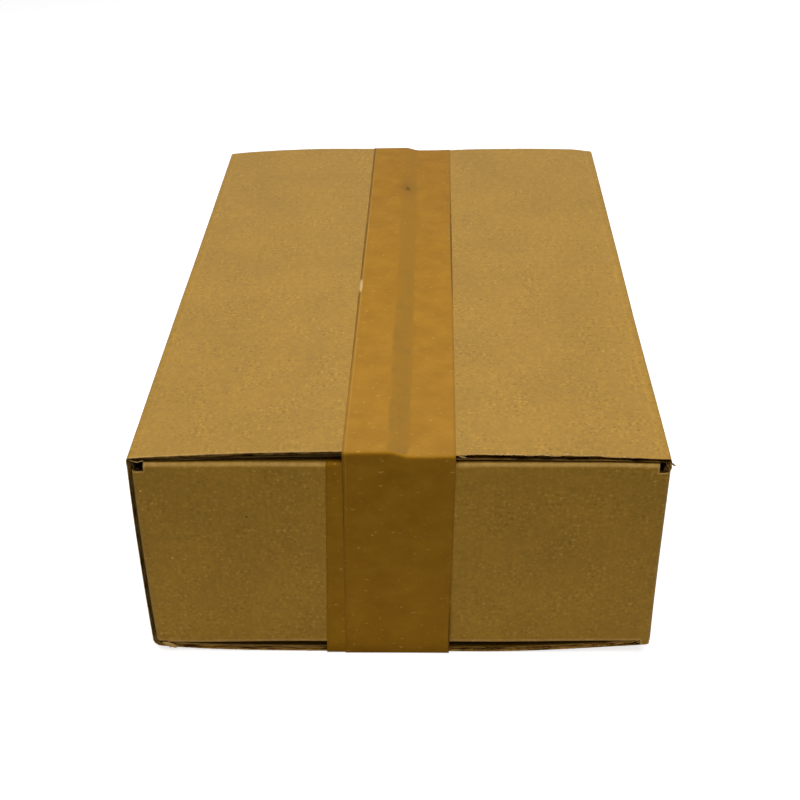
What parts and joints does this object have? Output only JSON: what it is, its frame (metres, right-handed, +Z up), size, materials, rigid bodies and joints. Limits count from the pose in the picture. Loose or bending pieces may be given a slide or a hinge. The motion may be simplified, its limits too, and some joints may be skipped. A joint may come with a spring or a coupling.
{
  "type": "taped parcel",
  "caption": "Sealed shipping parcel: a flat slotted corrugated carton with crowned flaps, shut along its top and bottom seams by brown packing tape.",
  "frame": {"origin": "middle of the parcel's footprint, on the surface that it stands on", "axes": "+X across the carton, +Y along it from the end with the glued corner at its left, +Z up through the top seam"},
  "size_m": [0.23, 0.3404, 0.114],
  "materials": {
    "kraft_board": "matt uncoated kraft paper",
    "tape_film": "semi-gloss tan packing tape"
  },
  "bodies": {
    "root": {"carton": "kraft_board", "top_tape": "tape_film", "bottom_tape": "tape_film"}
  },
  "joints": []
}
